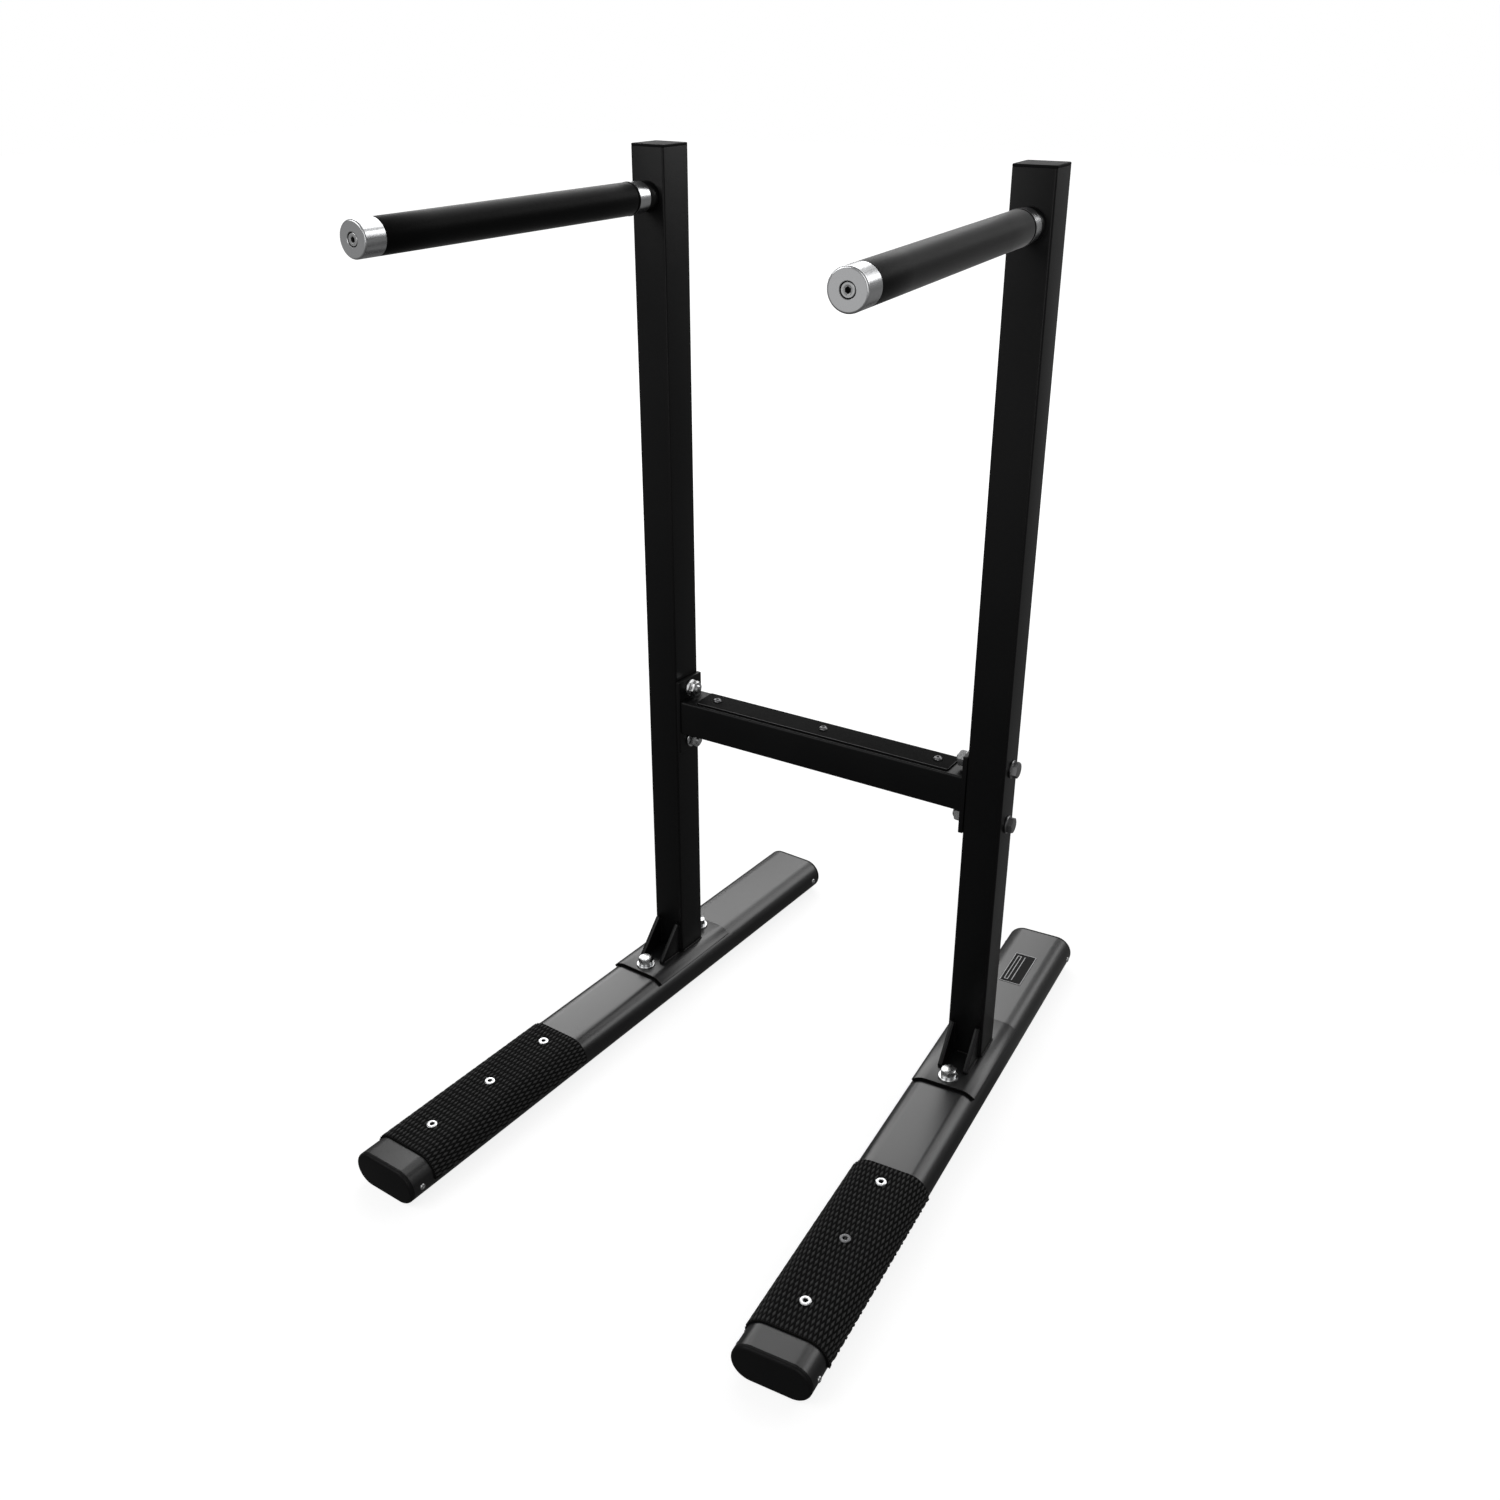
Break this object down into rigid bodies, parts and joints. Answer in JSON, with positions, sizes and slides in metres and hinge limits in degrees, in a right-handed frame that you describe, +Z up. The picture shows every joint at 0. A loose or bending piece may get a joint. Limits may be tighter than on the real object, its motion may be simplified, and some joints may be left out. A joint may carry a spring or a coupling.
{
  "type": "dip station",
  "caption": "Free-standing dip station: flat-oval base beams turned out to the front, square uprights, forward handles with black grips and bright ends, and a bolted crossbar.",
  "frame": {"origin": "on the floor, under the middle of the station's bounding box", "axes": "+Z up, -Y to the front where the handles point, +X to the right for someone who looks at the station from the front"},
  "size_m": [0.672, 0.939, 1.206],
  "materials": {
    "powder_coat": "satin black powder coat",
    "beam_coat": "smoother black coat with a soft sheen",
    "cap_plastic": "moulded black, fine grain",
    "tread_rubber": "embossed anti-slip rubber",
    "grip_rubber": "smooth satin rubber",
    "aluminium": "turned and brushed",
    "zinc_steel": "bright zinc plated",
    "label_metal": "blank plate with a fine border"
  },
  "bodies": {
    "root": {"left_base_beam": "beam_coat", "left_front_base_cap": "cap_plastic", "left_rear_base_cap": "cap_plastic", "left_foot_tread": "tread_rubber", "left_tread_screw_1": "zinc_steel", "left_tread_screw_2": "zinc_steel", "left_tread_screw_3": "zinc_steel", "left_saddle_plate": "powder_coat", "left_outer_gusset": "powder_coat", "left_inner_gusset": "powder_coat", "left_front_base_washers": "zinc_steel", "left_front_base_bolt": "zinc_steel", "left_rear_base_washers": "zinc_steel", "left_rear_base_bolt": "zinc_steel", "left_upright": "powder_coat", "left_upright_plug": "cap_plastic", "left_handle_tube": "aluminium", "left_handle_collar": "powder_coat", "left_grip_ferrule": "aluminium", "left_grip": "grip_rubber", "left_grip_end_cap": "aluminium", "left_end_cap_screw": "zinc_steel", "left_end_plate": "powder_coat", "left_upper_cross_bolt": "zinc_steel", "left_upper_cross_nut": "zinc_steel", "left_lower_cross_bolt": "zinc_steel", "left_lower_cross_nut": "zinc_steel", "right_base_beam": "beam_coat", "right_front_base_cap": "cap_plastic", "right_rear_base_cap": "cap_plastic", "right_foot_tread": "tread_rubber", "right_tread_screw_1": "zinc_steel", "right_tread_screw_2": "zinc_steel", "right_tread_screw_3": "zinc_steel", "right_saddle_plate": "powder_coat", "right_outer_gusset": "powder_coat", "right_inner_gusset": "powder_coat", "right_front_base_washers": "zinc_steel", "right_front_base_bolt": "zinc_steel", "right_rear_base_washers": "zinc_steel", "right_rear_base_bolt": "zinc_steel", "right_upright": "powder_coat", "right_upright_plug": "cap_plastic", "right_handle_tube": "aluminium", "right_handle_collar": "powder_coat", "right_grip_ferrule": "aluminium", "right_grip": "grip_rubber", "right_grip_end_cap": "aluminium", "right_end_cap_screw": "zinc_steel", "right_end_plate": "powder_coat", "right_upper_cross_bolt": "zinc_steel", "right_upper_cross_nut": "zinc_steel", "right_lower_cross_bolt": "zinc_steel", "right_lower_cross_nut": "zinc_steel", "label_plate": "label_metal", "crossbar": "powder_coat", "crossbar_top_plate": "powder_coat", "top_plate_screw_1": "zinc_steel", "top_plate_screw_2": "zinc_steel", "top_plate_screw_3": "zinc_steel"}
  },
  "joints": []
}
